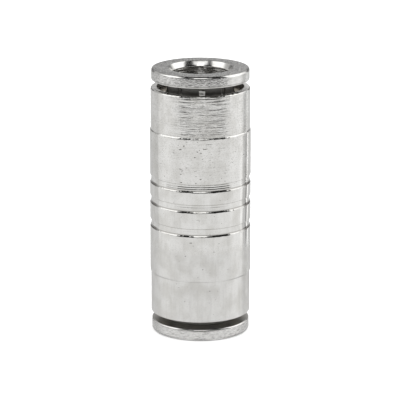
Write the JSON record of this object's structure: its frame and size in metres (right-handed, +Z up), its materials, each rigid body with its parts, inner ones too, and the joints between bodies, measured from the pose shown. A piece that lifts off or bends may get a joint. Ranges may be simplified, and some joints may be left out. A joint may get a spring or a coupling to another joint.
{
  "type": "push to connect fitting",
  "caption": "Straight push-in union joining two pneumatic tubes end to end, with a pressable, slotted release collet at each end of a turned body.",
  "frame": {"origin": "on the bore's axis, in the flat outer face of the lower release collet, which is the face the fitting stands on", "axes": "+Z up along the bore, from the lower tube socket to the upper one; -Y is the front, and +X is to the right seen from the front"},
  "size_m": [0.014, 0.014, 0.0373],
  "materials": {
    "nickel_body": "satin nickel plate over turned brass",
    "nickel_collet": "satin nickel plate over turned brass",
    "plain_brass": "bare machined brass",
    "spring_steel": "bright stainless spring steel",
    "nitrile_rubber": "matt black nitrile rubber"
  },
  "bodies": {
    "body": {"union_body": "nickel_body", "upper_retaining_ring": "plain_brass", "lower_retaining_ring": "plain_brass", "upper_backing_ring": "plain_brass", "lower_backing_ring": "plain_brass", "upper_o_ring": "nitrile_rubber", "lower_o_ring": "nitrile_rubber"},
    "upper_grip": {"upper_grip_ring": "spring_steel"},
    "upper_release": {"upper_collet": "nickel_collet"},
    "lower_grip": {"lower_grip_ring": "spring_steel"},
    "lower_release": {"lower_collet": "nickel_collet"}
  },
  "joints": [
    {"name": "upper_press", "type": "slide", "parent": "body", "child": "upper_grip", "axis": [0, 0, -1], "range_m": [0, 0.0009]},
    {"name": "upper_spin", "type": "hinge", "parent": "upper_grip", "child": "upper_release", "pos_m": [0, 0, 0.03565], "axis": [0, 0, 1], "continuous": true},
    {"name": "lower_press", "type": "slide", "parent": "body", "child": "lower_grip", "axis": [0, 0, 1], "range_m": [0, 0.0009]},
    {"name": "lower_spin", "type": "hinge", "parent": "lower_grip", "child": "lower_release", "pos_m": [0, 0, 0.00164], "axis": [0, 0, 1], "continuous": true}
  ]
}
